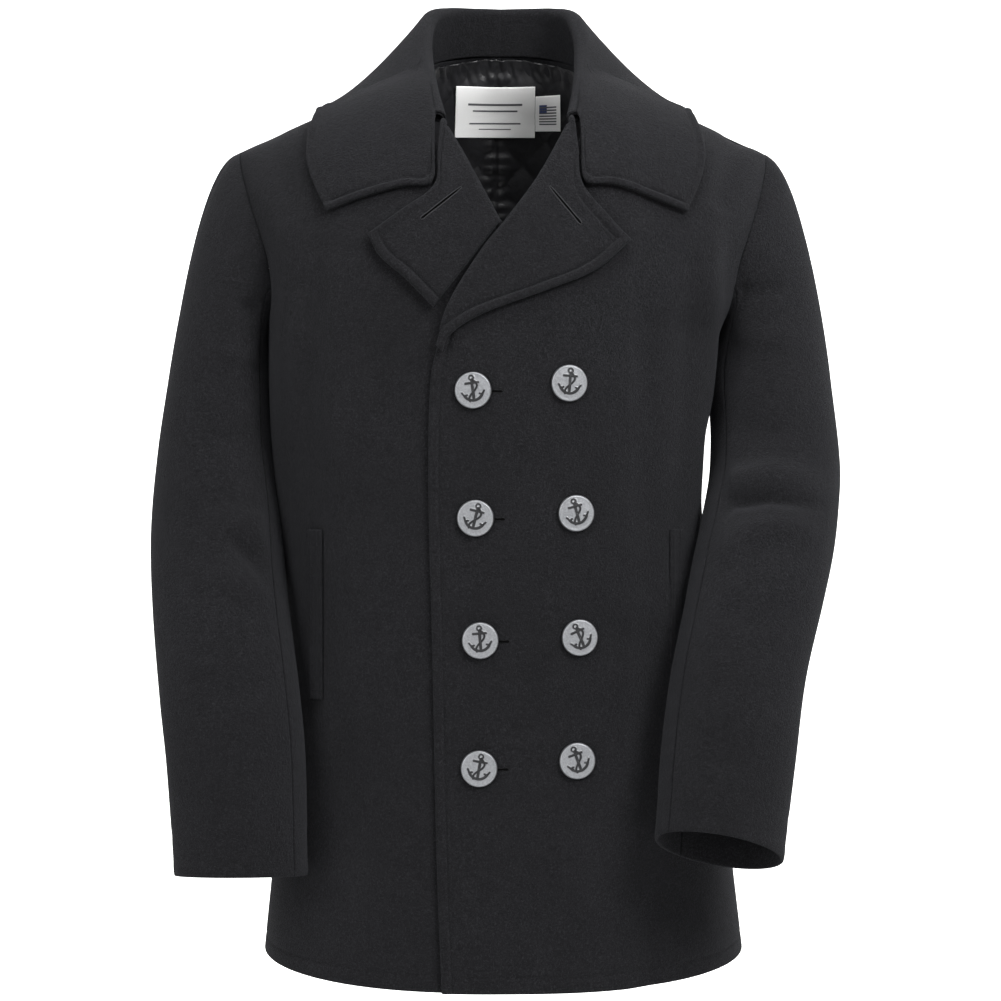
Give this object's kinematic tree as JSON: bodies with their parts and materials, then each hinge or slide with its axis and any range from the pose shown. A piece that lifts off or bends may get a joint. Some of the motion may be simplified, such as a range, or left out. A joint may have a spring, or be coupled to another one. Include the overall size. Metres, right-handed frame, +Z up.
{
  "type": "pea coat",
  "caption": "Double-breasted wool pea coat, filled out with nobody in it, with a wide notched collar, welt pockets and set-in sleeves that hang a little forward.",
  "frame": {"origin": "middle of the shoulders, where the wearer's shoulders carry the coat, 790 mm above the hem line", "axes": "+Z up the coat, -Y out of its front, +X to the wearer's left"},
  "size_m": [0.6071, 0.373, 0.8682],
  "materials": {
    "wool": "dense melton wool, near-black charcoal, matt with a fine nap",
    "lining": "black satin, quilted in diamonds, glossy",
    "button": "pewter-grey, semi-gloss, with a raised anchor",
    "label": "white woven satin, plain"
  },
  "bodies": {
    "root": {"front_left": "wool", "front_right": "wool", "back_left": "wool", "back_right": "wool", "upper_sleeve_left": "wool", "under_sleeve_left": "wool", "upper_sleeve_right": "wool", "under_sleeve_right": "wool", "lapel_left": "wool", "lapel_right": "wool", "top_collar": "wool", "under_collar": "wool", "pocket_welt_left": "wool", "pocket_welt_right": "wool", "button_right_1": "button", "button_left_1": "button", "button_right_2": "button", "button_left_2": "button", "button_right_3": "button", "button_left_3": "button", "button_right_4": "button", "button_left_4": "button", "back_lining": "lining", "neck_label": "label", "size_label": "label"}
  },
  "joints": []
}
